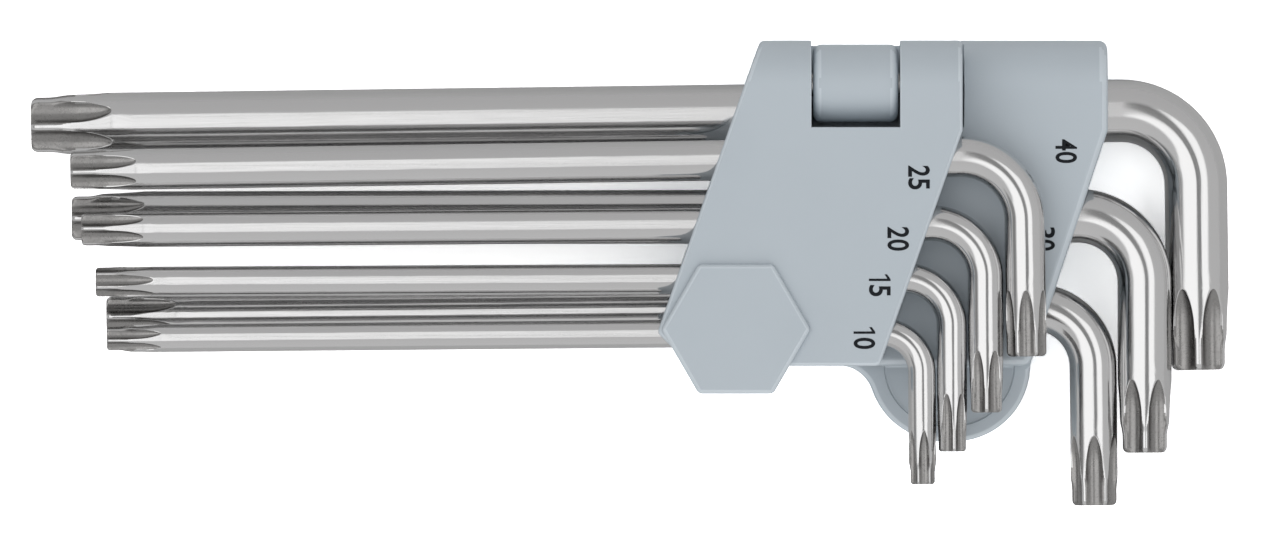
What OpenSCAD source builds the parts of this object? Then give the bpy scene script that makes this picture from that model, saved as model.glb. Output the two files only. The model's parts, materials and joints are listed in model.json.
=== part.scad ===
// Set of seven star keys in a two-leaf folding holder, in millimetres.
// It lies flat on its back leaf: +Z is up, +X points to the bends and +Y to the hinge.
// The origin is the middle of the footprint, on the surface that the set lies on.

/* [Front keys: sizes 10, 15, 20 and 25] */
// Shaft diameter of each front key, smallest first
front_shaft_d = [3.1, 3.35, 3.95, 4.5]; // [2:0.05:6]
// Diameter across the lobes of each star
front_star_d = [2.74, 3.27, 3.86, 4.43]; // [1.8:0.01:5.8]
// Length of each long arm, to the outside of the bend
front_long = [92.0, 96.7, 102.3, 108.1]; // [70:0.1:150]
// Length of each short arm, to the outside of the bend
front_short = [18.5, 21.0, 23.05, 24.5]; // [14:0.1:40]
// Radius of each bend, on the centre line
front_bend_r = [4.45, 5.3, 6.0, 7.1]; // [4:0.05:9]
// How far each long arm lies below the hinge axis, measured at its bend
front_drop = [27.4, 21.4, 15.3, 7.9]; // [5:0.1:30]
// Place of each short arm, to the right of the middle of the hinge
front_arm_x = [7.31, 10.64, 14.37, 18.66]; // [6:0.01:24]
// Angle of each bore to the hinge axis, in degrees
front_tilt = [0.5, 0.3, 0.45, 0.87]; // [0:0.01:1.2]
// Turn of the star at each long tip, in degrees
front_turn_long = [40, 53, 26, 36]; // [0:1:59]
// Turn of the star at each short tip, in degrees
front_turn_short = [7, 38, 30, 0]; // [0:1:59]

/* [Back keys: sizes 27, 30 and 40] */
// Shaft diameter of each back key, smallest first
back_shaft_d = [5.25, 6.0, 7.0]; // [4:0.05:8]
// Diameter across the lobes of each star
back_star_d = [4.99, 5.52, 6.65]; // [3.8:0.01:7.8]
// Length of each long arm, to the outside of the bend
back_long = [112.4, 122.4, 133.2]; // [90:0.1:180]
// Length of each short arm, to the outside of the bend
back_short = [24.8, 29.4, 32.5]; // [18:0.1:50]
// Radius of each bend, on the centre line
back_bend_r = [6.7, 7.4, 8.3]; // [6:0.05:12]
// How far each long arm lies below the hinge axis, measured at its bend
back_drop = [24.6, 14.5, 2.7]; // [2:0.1:27]
// Place of each short arm, to the right of the middle of the hinge
back_arm_x = [26.43, 32.2, 37.91]; // [24:0.01:44]
// How far each key lies behind the back leaf's inner face
back_depth = [4.2, 4.2, 7.05]; // [3:0.05:9]
// Angle of each bore to the hinge axis, in degrees
back_tilt = [0.6, 0.15, 0.75]; // [0:0.01:1.2]
// Turn of the star at each long tip, in degrees
back_turn_long = [30, 30, 35]; // [0:1:59]
// Turn of the star at each short tip, in degrees
back_turn_short = [0, 30, 30]; // [0:1:59]

/* [Star ends] */
// Root diameter of the star, as a share of its outer diameter
root_share = 0.725; // [0.65:0.005:0.8]
// Radius of one flute, as a share of the star's outer diameter
flute_share = 0.215; // [0.16:0.005:0.26]
// Part of a flute's length that every size has
flute_base = 3.9; // [2:0.1:6]
// What a flute's length gains for each millimetre of star diameter
flute_gain = 0.77; // [0.3:0.01:1.2]
// Chamfer at the end of a star
tip_chamfer = 0.25; // [0.1:0.05:0.5]

/* [Holder] */
// Thickness of the front leaf
front_t = 6.85; // [6:0.05:10]
// Thickness of the back leaf
back_t = 11.9; // [11:0.1:16]
// Gap between the two closed leaves
leaf_gap = 0.3; // [0.2:0.05:0.6]
// Distance from the hinge axis to the lower edge of the leaves
leaf_drop = 31.2; // [30:0.1:38]
// Lean of the slanted edges of the front leaf, in degrees
front_lean = 19.4; // [10:0.1:24]
// Lean of the slanted right edge of the back leaf, in degrees
back_lean = 18.3; // [10:0.1:24]
// Left end of the outer knuckles, from the middle of the hinge
knuckle_left = 10.6; // [8:0.05:14]
// Right end of the outer knuckles, from the middle of the hinge
knuckle_right = 11.85; // [8:0.05:14]
// Right edge of the back leaf, from the middle of the hinge
back_right = 28.1; // [26:0.1:32]
// Depth below the hinge axis at which the front leaf's right edge starts to slant
front_shoulder = 5.1; // [3:0.1:10]
// Depth below the hinge axis at which the back leaf's right edge starts to slant
back_shoulder = 5.0; // [3:0.1:10]
// Width of the corner that is cut off at the lower left
heel = 3.7; // [2:0.1:6]
// Outer wall of the leaves
wall = 1.8; // [1.2:0.1:2.5]
// Thickness of the ribs across the hollow of each leaf
rib_t = 1.6; // [1:0.1:2.5]
// Number of hollow cells in each leaf
cells = 3; // [2:1:4]
// Running clearance between a key and its bore, on the radius
key_fit = 0.05; // [0.02:0.01:0.1]
// Length of the flared mouth of a bore, as a share of the bend radius
mouth_share = 0.6; // [0.5:0.05:0.7]

/* [Hinge] */
// Radius of the outer knuckles
knuckle_r = 4.95; // [4:0.05:6]
// Radius of the centre knuckle
centre_r = 4.3; // [3.2:0.05:4.4]
// How far the middle of the centre knuckle lies above the pin, away from the leaves
centre_lift = 0.2; // [0:0.05:0.3]
// Width of the centre knuckle
centre_w = 9.45; // [7:0.05:12]
// Clearance of the centre knuckle in its slot, at each end and at its furthest reach
slot_gap = 0.2; // [0.1:0.05:0.4]
// Clearance around the knuckles
swing_gap = 0.25; // [0.15:0.05:0.5]
// Diameter of the hinge pin
pin_d = 2.5; // [1.6:0.1:3.5]
// Running clearance of the centre knuckle on the pin, on the radius
pin_fit = 0.05; // [0.02:0.01:0.1]
// How far the pin's end lies inside the right knuckle
pin_sink = 0.3; // [0.1:0.1:1]

/* [Thumb pad and finger lobe] */
// Width of the hexagonal thumb pad across its corners
pad_w = 16.6; // [12:0.1:18]
// How far the pad's middle lies left of the middle of the hinge
pad_x = 13.3; // [10:0.1:16]
// How far the pad's middle lies below the hinge axis
pad_drop = 27.1; // [24:0.1:30]
// How far the pad stands up from the front face
pad_rise = 0.8; // [0.3:0.1:1.5]
// Radius of the finger lobe
lobe_r = 8.45; // [6:0.05:10]
// Place of the middle of the lobe, to the right of the middle of the hinge
lobe_x = 10.5; // [9:0.1:12]
// Length of the straight stretch in the middle of the lobe
lobe_flat = 1.1; // [0.5:0.1:3]
// Step from the back leaf's inner face down to the lobe
lobe_step = 3.3; // [2:0.1:5]
// Radius of the hollow corner where the lobe leaves the leaf
lobe_fillet = 4.0; // [1:0.1:5]

/* [Hidden] */
$fn = 96;
// Small overlap for cutters
eps = 0.5;
steel = "#b9bbbd";
plastic = "#b2bbc2";

// The holder is drawn about the hinge axis: x along it, y across the leaves, z towards the front face
front_top = knuckle_r;
front_inner = front_top - front_t;
back_inner = front_inner - leaf_gap;
back_bottom = back_inner - back_t;
back_round_r = 5.0;
back_top_left = 4.4;

// A key as [shaft, star, long, short, bend, [corner x, y, z], tilt, turn at long tip, turn at short tip]
function front_key(i) = [front_shaft_d[i], front_star_d[i], front_long[i], front_short[i], front_bend_r[i],
    [front_arm_x[i], -front_drop[i], front_z], front_tilt[i], front_turn_long[i], front_turn_short[i]];
function back_key(i) = [back_shaft_d[i], back_star_d[i], back_long[i], back_short[i], back_bend_r[i],
    [back_arm_x[i], -back_drop[i], back_inner - back_depth[i]], back_tilt[i], back_turn_long[i],
    back_turn_short[i]];
// The front keys lie in one plane, in the middle of the front leaf
front_z = (front_top + front_inner) / 2;
front_keys = [for (i = [0:3]) front_key(i)];
back_keys = [for (i = [0:2]) back_key(i)];

// Length of the fluted end of a key, and the share of it in which a flute runs out
function flute_len(k) = flute_base + flute_gain * k[1];
runout_share = 0.5;
// Share of the fluted length that keeps the full star diameter; the lobes widen over as much again
crest_share = 0.22;

// Ends of the two arms on their centre lines
function long_tip(k) = k[5] - (k[2] - k[0] / 2) * [cos(k[6]), sin(k[6]), 0];
function short_tip(k) = k[5] + (k[3] - k[0] / 2) * [sin(k[6]), -cos(k[6]), 0];

// Footprint of the set, which places the origin
x_low = long_tip(back_keys[2])[0];
x_high = short_tip(back_keys[2])[0] + back_keys[2][1] / 2;
y_low = short_tip(back_keys[0])[1];
y_high = back_round_r;
origin = [(x_low + x_high) / 2, (y_low + y_high) / 2, back_bottom];

// Slanted edges of the leaves, as x at a height y
function left_edge(y) = -knuckle_left + (y - knuckle_r) * tan(front_lean);
function right_edge(y) = knuckle_right + min(0, y + front_shoulder) * tan(front_lean);
function back_edge(y) = back_right + min(0, y + back_shoulder) * tan(back_lean);

heel_y = heel - leaf_drop;
front_outline = [[left_edge(knuckle_r), knuckle_r], [left_edge(heel_y), heel_y],
    [left_edge(heel_y) + heel, -leaf_drop], [right_edge(-leaf_drop), -leaf_drop],
    [knuckle_right, -front_shoulder], [knuckle_right, knuckle_r]];
back_outline = [[left_edge(back_top_left), back_top_left], [left_edge(heel_y), heel_y],
    [left_edge(heel_y) + heel, -leaf_drop], [back_edge(-leaf_drop), -leaf_drop],
    [back_right, -back_shoulder], [back_right, back_round_r], [knuckle_right, back_top_left]];

// Corners of an outline that runs anticlockwise, moved inwards by t
function inward(p, q) = let (d = q - p) [-d[1], d[0]] / norm(d);
function inset(pts, t) = [for (i = [0:len(pts) - 1])
    let (n = len(pts), a = pts[(i + n - 1) % n], b = pts[i], c = pts[(i + 1) % n],
         u = inward(a, b), v = inward(b, c))
    b + t * (u + v) / (1 + u * v)];

// Move from the hinge axis to the origin of the set
module place() {
    translate(-origin) children();
}

// Cutter for one flute, along +Z from the tip: a round bar, and a cone that leaves the shaft
module flute(k) {
    len = flute_len(k);
    full = len * (1 - runout_share);
    cut_r = k[1] * flute_share;
    axis_r = k[1] * root_share / 2 + cut_r;
    end_r = axis_r - k[0] / 2;
    cone = (len - full) * cut_r / (cut_r - end_r);
    translate([axis_r, 0, 0])
        rotate_extrude($fn = 48)
            polygon([[0, -eps], [cut_r, -eps], [cut_r, full], [0, full + cone]]);
}

// One straight arm of a key, from the bend at z = 0 down to its fluted tip
module arm(k, run, turn) {
    len = flute_len(k);
    r = k[0] / 2;
    tip_r = k[1] / 2;
    difference() {
        rotate_extrude()
            polygon([[0, -run], [tip_r - tip_chamfer, -run], [tip_r, tip_chamfer - run],
                [tip_r, len * crest_share - run], [r, len * 2 * crest_share - run], [r, 0], [0, 0]]);
        for (i = [0:5]) translate([0, 0, -run]) rotate([0, 0, 60 * (i + 0.5) + turn]) flute(k);
    }
}

// One key, drawn from the centre of its bend; at no turn a flute faces up
module star_key(k) {
    r = k[0] / 2;
    bend = k[4];
    color(steel) place() translate(k[5]) rotate([0, 0, k[6]]) translate([-bend, -bend, 0]) {
        translate([0, bend, 0]) rotate([90, 0, 90]) arm(k, k[2] - r - bend, k[7]);
        rotate_extrude(angle = 90) translate([bend, 0]) circle(r = r);
        translate([bend, 0, 0]) rotate([-90, 0, 0]) arm(k, k[3] - r - bend, k[8]);
    }
}

// Bore for the long arm of a key, right through its leaf, with a wider mouth that clears the bend
module key_bore(k) {
    r = k[0] / 2 + key_fit;
    mouth = mouth_share * k[4];
    flare = k[4] - sqrt(k[4] * k[4] - mouth * mouth);
    translate(k[5]) rotate([0, 0, k[6]]) translate([-k[4], 0, 0]) rotate([0, 90, 0])
        rotate_extrude()
            polygon([[0, k[4] - k[2]], [r, k[4] - k[2]], [r, 0], [r + flare, mouth], [0, mouth]]);
}

// Bar along the hinge, from its profile across the hinge
module along_hinge(from, to) {
    translate([from, 0, 0]) rotate([90, 0, 90]) linear_extrude(to - from) children();
}

// Outline of a leaf, drawn up from z = low to z = high
module slab(outline, low, high) {
    translate([0, 0, low]) linear_extrude(high - low) polygon(outline);
}

// Hollow of a leaf in plan: cells between slanted ribs, inside the outer wall
module hollow_plan(top) {
    span = right_edge(-leaf_drop) - left_edge(-leaf_drop);
    pitch = span / cells;
    lean = tan(front_lean);
    intersection() {
        polygon(inset(front_outline, wall));
        for (i = [0:cells - 1])
            let (a = left_edge(0) + i * pitch + rib_t / 2, b = left_edge(0) + (i + 1) * pitch - rib_t / 2)
                polygon([[a - top * lean, -top], [a - leaf_drop * lean, -leaf_drop],
                    [b - leaf_drop * lean, -leaf_drop], [b - top * lean, -top]]);
    }
}

// Plan of the finger lobe, with its hollow corner
module lobe_plan() {
    left = lobe_x - lobe_flat / 2;
    for (x = [left, left + lobe_flat]) translate([x, -leaf_drop]) circle(r = lobe_r);
    translate([left, -leaf_drop - lobe_r]) square([lobe_flat, lobe_r]);
    // The hollow corner touches the leaf's lower edge and the lobe
    reach = sqrt(lobe_r * lobe_r + 2 * lobe_r * lobe_fillet);
    share = lobe_r / (lobe_r + lobe_fillet);
    difference() {
        polygon([[left, -leaf_drop], [left - reach, -leaf_drop],
            [left - share * reach, -leaf_drop - share * lobe_fillet]]);
        translate([left - reach, -leaf_drop - lobe_fillet]) circle(r = lobe_fillet);
    }
}

module front_leaf() {
    slot = centre_w / 2 + slot_gap;
    slot_drop = centre_r + centre_lift + slot_gap;
    color(plastic) place() difference() {
        union() {
            intersection() {
                slab(front_outline, -knuckle_r, front_top);
                along_hinge(-leaf_drop, leaf_drop) {
                    circle(r = knuckle_r);
                    translate([-leaf_drop, front_inner]) square([leaf_drop, front_t]);
                }
            }
            translate([-pad_x, -pad_drop, front_inner])
                cylinder(d = pad_w, h = front_t + pad_rise, $fn = 6);
        }
        // Slot for the centre knuckle
        translate([-slot, -slot_drop, -knuckle_r - eps])
            cube([2 * slot, slot_drop + knuckle_r + eps, 2 * (knuckle_r + eps)]);
        // Hollow behind the front face
        translate([0, 0, front_inner - eps])
            linear_extrude(eps + front_t - wall * 2 / 3) hollow_plan(slot_drop + wall);
        for (k = front_keys) key_bore(k);
        along_hinge(-knuckle_left, knuckle_right + eps) circle(d = pin_d);
    }
}

module back_leaf() {
    recess_r = knuckle_r + swing_gap;
    recess_left = left_edge(-leaf_drop);
    recess_w = knuckle_right + swing_gap - recess_left;
    round_z = back_inner - back_round_r;
    bore_edge = back_keys[2][0] / 2 + back_drop[2] + 2 * wall;
    color(plastic) place() difference() {
        union() {
            difference() {
                intersection() {
                    slab(back_outline, back_bottom, back_inner);
                    along_hinge(-leaf_drop, leaf_drop) {
                        translate([0, round_z]) circle(r = back_round_r);
                        translate([-leaf_drop, back_bottom]) square([leaf_drop, back_t]);
                        translate([-eps, back_bottom]) square([back_round_r + eps, round_z - back_bottom]);
                    }
                }
                // Room for the outer knuckles, closed and folded right over
                along_hinge(recess_left, recess_left + recess_w) {
                    circle(r = recess_r);
                    translate([0, -recess_r]) square([2 * recess_r, 2 * recess_r]);
                }
            }
            // Centre knuckle on its neck
            along_hinge(-centre_w / 2, centre_w / 2) {
                translate([centre_lift, 0]) circle(r = centre_r);
                translate([centre_lift - centre_r, -recess_r - eps]) square([2 * centre_r, recess_r + eps]);
            }
            translate([0, 0, back_bottom])
                linear_extrude(back_t - lobe_step) lobe_plan();
        }
        // Hollow behind the inner face, covered by the front leaf when the set is closed
        translate([0, 0, back_bottom + wall])
            linear_extrude(back_t) hollow_plan(bore_edge);
        for (k = back_keys) key_bore(k);
        along_hinge(-knuckle_left, knuckle_right) circle(d = pin_d + 2 * pin_fit);
    }
}

module hinge_pin() {
    color(steel) place() along_hinge(-knuckle_left, knuckle_right - pin_sink) circle(d = pin_d);
}

module key_10() { star_key(front_keys[0]); }
module key_15() { star_key(front_keys[1]); }
module key_20() { star_key(front_keys[2]); }
module key_25() { star_key(front_keys[3]); }
module key_27() { star_key(back_keys[0]); }
module key_30() { star_key(back_keys[1]); }
module key_40() { star_key(back_keys[2]); }

back_leaf();
front_leaf();
hinge_pin();
key_10();
key_15();
key_20();
key_25();
key_27();
key_30();
key_40();
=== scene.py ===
import json
import math

import bmesh
import bpy
from mathutils import Matrix, Vector


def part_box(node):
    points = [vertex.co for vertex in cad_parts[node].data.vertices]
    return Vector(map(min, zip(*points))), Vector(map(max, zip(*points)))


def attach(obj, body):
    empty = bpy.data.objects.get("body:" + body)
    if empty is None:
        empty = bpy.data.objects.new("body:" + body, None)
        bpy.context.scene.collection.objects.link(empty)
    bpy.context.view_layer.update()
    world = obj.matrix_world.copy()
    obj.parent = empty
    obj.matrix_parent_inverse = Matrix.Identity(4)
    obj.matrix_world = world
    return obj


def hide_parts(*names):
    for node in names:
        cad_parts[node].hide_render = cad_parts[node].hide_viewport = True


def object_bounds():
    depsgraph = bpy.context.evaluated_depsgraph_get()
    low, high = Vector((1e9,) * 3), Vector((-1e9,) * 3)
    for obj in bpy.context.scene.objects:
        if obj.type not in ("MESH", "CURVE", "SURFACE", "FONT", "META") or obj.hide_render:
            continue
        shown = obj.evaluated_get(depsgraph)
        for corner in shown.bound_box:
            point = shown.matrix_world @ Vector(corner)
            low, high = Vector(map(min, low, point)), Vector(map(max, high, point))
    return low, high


bl_info = {
    "name": "Star key set",
    "version": (1, 0, 0),
    "blender": (4, 5, 0),
    "location": "View3D > Sidebar > Star keys",
    "description": "Seven star keys in a folding holder, drawn around their packed construction model",
    "category": "Object",
}

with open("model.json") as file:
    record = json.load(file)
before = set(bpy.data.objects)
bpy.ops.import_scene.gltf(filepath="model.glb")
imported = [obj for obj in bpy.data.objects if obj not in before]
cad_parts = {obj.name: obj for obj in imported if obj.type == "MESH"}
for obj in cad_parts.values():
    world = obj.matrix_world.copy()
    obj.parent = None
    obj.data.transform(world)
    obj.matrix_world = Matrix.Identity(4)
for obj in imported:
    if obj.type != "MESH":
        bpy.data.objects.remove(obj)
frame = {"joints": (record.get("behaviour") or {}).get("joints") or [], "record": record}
cad_low, cad_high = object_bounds()

# Pieces are drawn in millimetres about the hinge axis: x along it, y across the leaves, z to the front
MM = 0.001
SIZES = (10, 15, 20, 25, 27, 30, 40)
FRONT_SIZES = (10, 15, 20, 25)
BACK_SIZES = (27, 30, 40)
SHARP = math.radians(30)
# Length of cutters that reach right through a leaf, and how far others stick out of it
REACH = 45.0
SPARE = 1.0
# Distance within which an edge counts as lying on a face
NEAR = 0.01
# Step to which sizes read from the solids' boxes are rounded
BOX_STEP = 0.05


def sizes_property(name, description, values, unit="LENGTH"):
    """One value for each key, smallest key first."""
    return bpy.props.FloatVectorProperty(
        name=name, description=description, size=len(values), default=values, unit=unit, precision=5)


def length(name, description, value):
    return bpy.props.FloatProperty(
        name=name, description=description, default=value * MM, unit="LENGTH", precision=5)


def angle(name, description, degrees):
    return bpy.props.FloatProperty(
        name=name, description=description, default=math.radians(degrees), unit="ROTATION")


def amount(name, description, value):
    """A setting without a unit."""
    return bpy.props.FloatProperty(name=name, description=description, default=value)


def colour(name, description, value):
    return bpy.props.FloatVectorProperty(
        name=name, description=description, size=3, default=value, subtype="COLOR", min=0, max=1)


class KeySettings(bpy.types.PropertyGroup):
    """Sizes of the seven keys that their construction model doesn't state."""

    star_d: sizes_property(
        "Star diameters", "Across the lobes of each star, smallest key first",
        [v * MM for v in (2.74, 3.27, 3.86, 4.43, 4.99, 5.52, 6.65)])
    bend_r: sizes_property(
        "Bend radii", "Radius of each bend on the centre line, smallest key first",
        [v * MM for v in (4.45, 5.3, 6.0, 7.1, 6.7, 7.4, 8.3)])
    turn_long: sizes_property(
        "Turns at the long tips", "Turn of the star at each long tip, smallest key first",
        [math.radians(v) for v in (40, 53, 26, 36, 30, 30, 35)], "ROTATION")
    turn_short: sizes_property(
        "Turns at the short tips", "Turn of the star at each short tip, smallest key first",
        [math.radians(v) for v in (7, 38, 30, 0, 0, 30, 30)], "ROTATION")
    root_share: amount("Root share", "Root diameter of a star, as a share of its outer diameter", 0.725)
    flute_share: amount("Flute share", "Radius of a flute, as a share of the star's diameter", 0.215)
    flute_base: length("Flute length", "Part of a flute's length that every size has", 3.9)
    flute_gain: amount("Flute gain", "What a flute's length gains with the star's diameter", 0.77)
    lobe_share: amount("Lobe share", "Radius of a lobe, as a share of the star's diameter", 0.085)
    nose_share: amount("Nose share", "Rounding at the end of a star, as a share of its diameter", 0.12)
    lip_round: length("Lip rounding", "Rounding between a flute and the shaft", 0.12)


class HolderSettings(bpy.types.PropertyGroup):
    """Shapes of the two leaves around the hinge axis."""

    front_lean: angle("Front lean", "Lean of the slanted edges of the front leaf", 19.4)
    back_lean: angle("Back lean", "Lean of the slanted right edge of the back leaf", 18.3)
    knuckle_left: length("Left knuckle end", "Left end of the outer knuckles, from the middle", 10.6)
    knuckle_right: length("Right knuckle end", "Right end of the outer knuckles", 11.85)
    back_right: length("Back leaf's right edge", "From the middle of the hinge", 28.1)
    front_shoulder: length("Front shoulder", "Where the front leaf's right edge starts to slant", 5.1)
    back_shoulder: length("Back shoulder", "Where the back leaf's right edge starts to slant", 5.0)
    heel: length("Heel", "Width of the corner that is cut off at the lower left", 3.7)
    drop: length("Leaf drop", "Distance from the hinge axis to the lower edge of the leaves", 31.2)
    leaf_gap: length("Leaf gap", "Gap between the two closed leaves", 0.3)
    wall: length("Wall", "Outer wall of the leaves", 1.8)
    rib: length("Rib", "Ribs across the hollow of each leaf", 1.6)
    back_top: length("Back leaf's top", "Height of its upper edge left of the slanted part", 4.4)
    back_roll: length("Back leaf's roll", "Radius of its long upper edge", 5.0)
    centre_r: length("Centre knuckle radius", "Radius of the knuckle in the slot", 4.3)
    centre_lift: length("Centre knuckle lift", "How far its middle lies above the pin", 0.2)
    centre_w: length("Centre knuckle width", "Width of the knuckle in the slot", 9.45)
    slot_gap: length("Slot gap", "Clearance of the centre knuckle in its slot", 0.2)
    swing_gap: length("Swing gap", "Clearance around the knuckles", 0.25)
    pad_w: length("Pad width", "Width of the hexagonal thumb pad across its corners", 16.6)
    pad_x: length("Pad place", "How far the pad's middle lies left of the hinge's middle", 13.3)
    pad_drop: length("Pad drop", "How far the pad's middle lies below the hinge axis", 27.1)
    pad_rise: length("Pad rise", "How far the pad stands up from the front face", 0.8)
    lobe_r: length("Lobe radius", "Radius of the finger lobe", 8.45)
    lobe_x: length("Lobe place", "How far the lobe's middle lies right of the hinge's middle", 10.5)
    lobe_flat: length("Lobe flat", "Straight stretch in the middle of the lobe", 1.1)
    lobe_step: length("Lobe step", "Step from the back leaf's inner face down to the lobe", 3.3)
    lobe_fillet: length("Lobe fillet", "Hollow corner where the lobe leaves the leaf", 4.0)
    front_round: length("Front edge rounding", "Rounding of the front leaf's outer edges", 0.85)
    back_round: length("Back edge rounding", "Rounding of the back leaf's outer edges", 0.95)
    centre_round: length("Centre knuckle rounding", "Rounding of the ends of the knuckle in the slot", 0.9)
    fine_round: length("Fine rounding", "Rounding of the slot, the pad and the inner edges", 0.35)
    lobe_round: length("Lobe rounding", "Rounding of the lobe's upper rim", 1.1)
    lobe_rim: length("Lobe rim", "Width of the rim around the shallow dish in the lobe", 1.7)
    lobe_dish: length("Lobe dish", "Depth of the dish in the lobe", 0.3)
    key_fit: length("Key fit", "Running clearance between a key and its bore, on the radius", 0.05)
    mouth_share: amount("Mouth share", "Length of a bore's flared mouth, as a share of the bend", 0.6)
    number_height: length("Number height", "Height of the size numbers", 2.4)
    number_width: length("Number width", "Length of a two-digit size number", 2.65)
    digit_width: length("Digit width", "Width of one digit", 1.25)


class FinishSettings(bpy.types.PropertyGroup):
    """Colours of the finishes, and of the painted highlight on the holder's rounded edges."""

    plastic: colour("Plastic", "Moulded holder", (0.436, 0.487, 0.528))
    plastic_shade: colour("Plastic, second tone", "Faint clouding of the holder", (0.425, 0.475, 0.516))
    # Painted highlight: this lighter colour on the rounded edges that face up stands in for the light they
    # catch.
    plastic_rim: colour("Plastic, rims", "Rounded edges, where the plastic is thin", (0.520, 0.572, 0.614))
    steel: colour("Polished steel", "Shafts of the keys", (0.600, 0.597, 0.597))
    forged: colour("Forged steel", "Flutes of the keys", (0.285, 0.279, 0.274))
    forged_dark: colour("Forged steel, darker", "Pits in the flutes", (0.200, 0.195, 0.191))
    ink: colour("Ink", "Size numbers", (0.009, 0.011, 0.014))


class StageSettings(bpy.types.PropertyGroup):
    """Camera, floor and studio light."""

    lens: amount("Lens", "Focal length in millimetres", 720.0)
    view_w: length("View width", "Width that the camera sees at the hinge axis", 142.2)
    view_x: length("View centre x", "Middle of the view, from the hinge axis", -23.94)
    view_y: length("View centre y", "Middle of the view, from the hinge axis", -20.67)
    softbox: amount("Softbox", "Brightness of the softboxes overhead", 1.5)
    dome: amount("Dome", "Brightness of the walls around the table", 0.69)
    floor_tone: amount("Floor", "Share of the light that the floor throws back", 0.85)
    floor_mirrored: amount("Floor in metal", "Tone of the floor in the metal's reflections", 0.6)
    floor_seen: amount("Floor seen", "Tone of the floor for the camera, over 1 for a clean white", 2.75)
    fill: amount("Fill", "Strength of the wide low lamp in front", 0.6)


GROUPS = {"star_keys": KeySettings, "star_holder": HolderSettings, "star_finish": FinishSettings,
          "star_stage": StageSettings}


def settings(group):
    return getattr(bpy.context.scene, group)


class InMillimetres:
    """Reads the lengths of a settings group in millimetres, and its angles in radians."""

    def __init__(self, group):
        self.group = settings(group)

    def __getattr__(self, name):
        value = getattr(self.group, name)
        unit = self.group.bl_rna.properties[name].unit
        if unit != "LENGTH":
            return value
        return [v / MM for v in value] if hasattr(value, "__len__") else value / MM


def hinge_place():
    hinge = next(j for j in frame["joints"] if j["name"] == "leaf_hinge")
    return Vector(hinge["pos_m"])


def from_hinge(point):
    """A point of the frame, in millimetres from the hinge axis."""
    return (Vector(point) - hinge_place()) / MM


def node_box(node):
    low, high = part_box(node)
    return from_hinge(low), from_hinge(high)


def rounded(value):
    """A size read from a solid's box, without the small error of its mesh."""
    return round(value / BOX_STEP) * BOX_STEP


# Tools for modelling

def deselect():
    if bpy.context.object and bpy.context.object.mode != "OBJECT":
        bpy.ops.object.mode_set(mode="OBJECT")
    bpy.ops.object.select_all(action="DESELECT")


def pick(piece):
    deselect()
    piece.select_set(True)
    bpy.context.view_layer.objects.active = piece


def named(name):
    """Names the piece that was just added."""
    piece = bpy.context.object
    piece.name = name
    piece.data.name = name
    return piece


def face_outwards(piece):
    pick(piece)
    bpy.ops.object.mode_set(mode="EDIT")
    bpy.ops.mesh.select_all(action="SELECT")
    bpy.ops.mesh.normals_make_consistent(inside=False)
    bpy.ops.object.mode_set(mode="OBJECT")


def extruded(name, corners, way):
    """A solid whose end face has these corners, drawn out along a vector."""
    deselect()
    bpy.ops.mesh.primitive_circle_add(vertices=len(corners), fill_type="NGON")
    piece = named(name)
    for vertex, corner in zip(piece.data.vertices, corners):
        vertex.co = corner
    bpy.ops.object.mode_set(mode="EDIT")
    bpy.ops.mesh.select_all(action="SELECT")
    bpy.ops.mesh.extrude_region_move(TRANSFORM_OT_translate={"value": way})
    bpy.ops.object.mode_set(mode="OBJECT")
    face_outwards(piece)
    return piece


def slab(name, outline, low, high):
    """A plan outline drawn up from one height to another."""
    return extruded(name, [(x, y, low) for x, y in outline], (0, 0, high - low))


def bar(name, profile, start, end):
    """A profile across the hinge, drawn along it."""
    return extruded(name, [(start, y, z) for y, z in profile], (end - start, 0, 0))


def arc(centre, radius, start, end, steps):
    """Points on an arc, from one angle in degrees to another."""
    angles = [math.radians(start + (end - start) * i / steps) for i in range(steps + 1)]
    return [(centre[0] + radius * math.cos(a), centre[1] + radius * math.sin(a)) for a in angles]


def apply(piece, modifier):
    pick(piece)
    bpy.ops.object.modifier_apply(modifier=modifier.name)


def combine(piece, tool, operation):
    """Joins a tool to a piece, cuts it out, or keeps what they share."""
    modifier = piece.modifiers.new("Combine", "BOOLEAN")
    modifier.operation = operation
    modifier.solver = "EXACT"
    modifier.object = tool
    apply(piece, modifier)
    bpy.data.objects.remove(tool)


def bevel(piece, width, segments, wanted):
    """Rounds the sharp outward edges that wanted(middle, first end, second end) accepts."""
    pick(piece)
    bpy.ops.object.mode_set(mode="EDIT")
    bpy.ops.mesh.select_mode(type="EDGE")
    bpy.ops.mesh.select_all(action="DESELECT")
    mesh = bmesh.from_edit_mesh(piece.data)
    for edge in mesh.edges:
        if len(edge.link_faces) == 2 and edge.calc_face_angle_signed(0) > SHARP:
            a, b = (v.co for v in edge.verts)
            edge.select_set(bool(wanted((a + b) / 2, a, b)))
    bmesh.update_edit_mesh(piece.data)
    bpy.ops.mesh.bevel(offset=width, segments=segments, profile=0.5, affect="EDGES", clamp_overlap=True)
    bpy.ops.mesh.select_mode(type="VERT")
    bpy.ops.object.mode_set(mode="OBJECT")


def cut_plane(piece, point, normal):
    """Takes away what lies beyond a plane and closes the cut."""
    pick(piece)
    bpy.ops.object.mode_set(mode="EDIT")
    bpy.ops.mesh.select_all(action="SELECT")
    bpy.ops.mesh.bisect(plane_co=point, plane_no=normal, use_fill=True, clear_outer=True)
    bpy.ops.object.mode_set(mode="OBJECT")


def smooth(piece, weighted=True):
    """Smooth shading with sharp corners kept, and flat faces kept flat."""
    pick(piece)
    bpy.ops.object.shade_smooth_by_angle(angle=SHARP)
    if weighted:
        modifier = piece.modifiers.new("Flat faces", "WEIGHTED_NORMAL")
        modifier.keep_sharp = True
        modifier.weight = 90
        apply(piece, modifier)


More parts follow.
